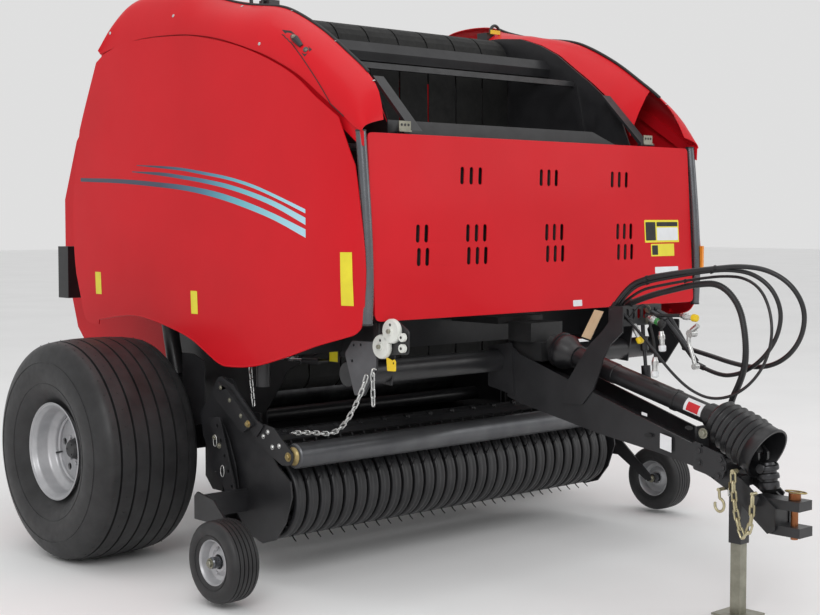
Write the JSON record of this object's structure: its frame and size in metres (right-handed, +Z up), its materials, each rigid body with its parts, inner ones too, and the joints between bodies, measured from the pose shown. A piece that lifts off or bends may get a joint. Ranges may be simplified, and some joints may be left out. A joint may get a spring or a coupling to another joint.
{
  "type": "round baler",
  "caption": "Towed variable-chamber round hay baler with a crop pickup, wide flotation tyres, swing-up side shields, lifting tailgate and a tongue with hitch and jack.",
  "frame": {"origin": "floor level under the middle of the machine's overall box", "axes": "+Z up, -Y forwards along the tongue, +X towards the machine's left-hand side"},
  "size_m": [3.206, 4.223, 2.662],
  "materials": {
    "belt": "woven rubber belt",
    "black_paint": "satin black paint",
    "chrome": "hard chrome",
    "copper_pin": "copper-coloured pin",
    "grey_trim": "metallic grey paint",
    "guard_plastic": "moulded black plastic",
    "hose_rubber": "smooth black hose rubber",
    "red_panel": "gloss red paint",
    "rim": "satin silver paint",
    "roller_steel": "worn steel",
    "shield_paint": "gloss red paint with navy, teal and light blue curved bands and blank labels",
    "tyre": "matt rubber",
    "zinc": "zinc plate"
  },
  "bodies": {
    "chassis": {"axle": "black_paint", "chamber_front": "black_paint", "tongue": "black_paint", "hitch_clevis": "black_paint", "hitch_pin": "copper_pin", "jack_tube": "black_paint", "roof_caps": "red_panel", "trim_bars": "grey_trim", "top_gutter": "black_paint", "rollers_front": "roller_steel", "belts_front": "belt", "gearbox": "black_paint", "driveline": "guard_plastic", "hose_holder": "black_paint", "coupler_set": "zinc", "hose_outer": "hose_rubber", "hose_middle": "hose_rubber", "hose_thin": "hose_rubber", "hose_sleeve": "hose_rubber", "lift_linkage": "zinc"},
    "jack_leg": {"jack_leg": "zinc"},
    "pto_yoke": {"pto_yoke": "roller_steel"},
    "front_panel": {"front_panel": "red_panel"},
    "pickup": {"pickup_frame": "black_paint", "stripper_bands": "black_paint"},
    "tine_reel": {"tine_reel": "roller_steel"},
    "wind_guard": {"wind_guard": "black_paint"},
    "tailgate": {"tailgate_frame": "red_panel", "rollers_tailgate": "roller_steel", "belts_rear": "belt", "tail_lamps": "guard_plastic"},
    "wheel_left": {"tyre_left": "tyre", "rim_left": "rim"},
    "side_shield_left": {"side_shield_left": "shield_paint"},
    "gauge_wheel_left": {"gauge_tyre_left": "tyre", "gauge_rim_left": "black_paint"},
    "barrel_left": {"cylinder_barrel_left": "black_paint"},
    "rod_left": {"cylinder_rod_left": "chrome"},
    "wheel_right": {"tyre_right": "tyre", "rim_right": "rim"},
    "side_shield_right": {"side_shield_right": "shield_paint"},
    "gauge_wheel_right": {"gauge_tyre_right": "tyre", "gauge_rim_right": "black_paint"},
    "barrel_right": {"cylinder_barrel_right": "black_paint"},
    "rod_right": {"cylinder_rod_right": "chrome"}
  },
  "joints": [
    {"name": "wheel_left_spin", "type": "hinge", "parent": "chassis", "child": "wheel_left", "pos_m": [1.33, 0.875, 0.5175], "axis": [1, 0, 0], "continuous": true},
    {"name": "wheel_right_spin", "type": "hinge", "parent": "chassis", "child": "wheel_right", "pos_m": [-1.33, 0.875, 0.5175], "axis": [1, 0, 0], "continuous": true},
    {"name": "tailgate_lift", "type": "hinge", "parent": "chassis", "child": "tailgate", "pos_m": [0, 0.675, 2.4], "axis": [1, 0, 0], "range_deg": [0, 60]},
    {"name": "barrel_left_swing", "type": "hinge", "parent": "chassis", "child": "barrel_left", "pos_m": [0.885, 0.855, 0.8], "axis": [-1, 0, 0], "range_deg": [-1, 8]},
    {"name": "rod_left_slide", "type": "slide", "parent": "barrel_left", "child": "rod_left", "axis": [0, 0.2384, 0.9712], "range_m": [0, 0.68]},
    {"name": "barrel_right_swing", "type": "hinge", "parent": "chassis", "child": "barrel_right", "pos_m": [-0.885, 0.855, 0.8], "axis": [-1, 0, 0], "range_deg": [-1, 8]},
    {"name": "rod_right_slide", "type": "slide", "parent": "barrel_right", "child": "rod_right", "axis": [0, 0.2384, 0.9712], "range_m": [0, 0.68]},
    {"name": "side_shield_left_swing", "type": "hinge", "parent": "chassis", "child": "side_shield_left", "pos_m": [1.128, 0.375, 2.458], "axis": [0, -1, 0], "range_deg": [0, 60]},
    {"name": "side_shield_right_swing", "type": "hinge", "parent": "chassis", "child": "side_shield_right", "pos_m": [-1.128, 0.375, 2.458], "axis": [0, 1, 0], "range_deg": [0, 60]},
    {"name": "front_panel_swing", "type": "hinge", "parent": "chassis", "child": "front_panel", "pos_m": [0, -0.775, 1.962], "axis": [-1, 0, 0], "range_deg": [0, 75]},
    {"name": "pickup_lift", "type": "hinge", "parent": "chassis", "child": "pickup", "pos_m": [0, 0.315, 0.64], "axis": [-1, 0, 0], "range_deg": [0, 16]},
    {"name": "tine_reel_spin", "type": "hinge", "parent": "pickup", "child": "tine_reel", "pos_m": [0, -0.09, 0.38], "axis": [1, 0, 0], "continuous": true},
    {"name": "wind_guard_float", "type": "hinge", "parent": "pickup", "child": "wind_guard", "pos_m": [0, 0.185, 0.85], "axis": [-1, 0, 0], "range_deg": [0, 15]},
    {"name": "gauge_wheel_left_spin", "type": "hinge", "parent": "pickup", "child": "gauge_wheel_left", "pos_m": [1.447, -0.31, 0.19], "axis": [1, 0, 0], "continuous": true},
    {"name": "gauge_wheel_right_spin", "type": "hinge", "parent": "pickup", "child": "gauge_wheel_right", "pos_m": [-1.447, -0.31, 0.19], "axis": [1, 0, 0], "continuous": true},
    {"name": "jack_leg_slide", "type": "slide", "parent": "chassis", "child": "jack_leg", "axis": [0, 0, 1], "range_m": [0, 0.19]},
    {"name": "pto_yoke_spin", "type": "hinge", "parent": "chassis", "child": "pto_yoke", "pos_m": [0, -1.953, 0.632], "axis": [0, -0.1386, -0.9903], "continuous": true}
  ],
  "couplings": [
    {"joint": "rod_left_slide", "follows": "tailgate_lift", "m_per_rad": 0.642},
    {"joint": "barrel_left_swing", "follows": "tailgate_lift", "ratio": 0.026},
    {"joint": "rod_right_slide", "follows": "tailgate_lift", "m_per_rad": 0.642},
    {"joint": "barrel_right_swing", "follows": "tailgate_lift", "ratio": 0.026}
  ]
}
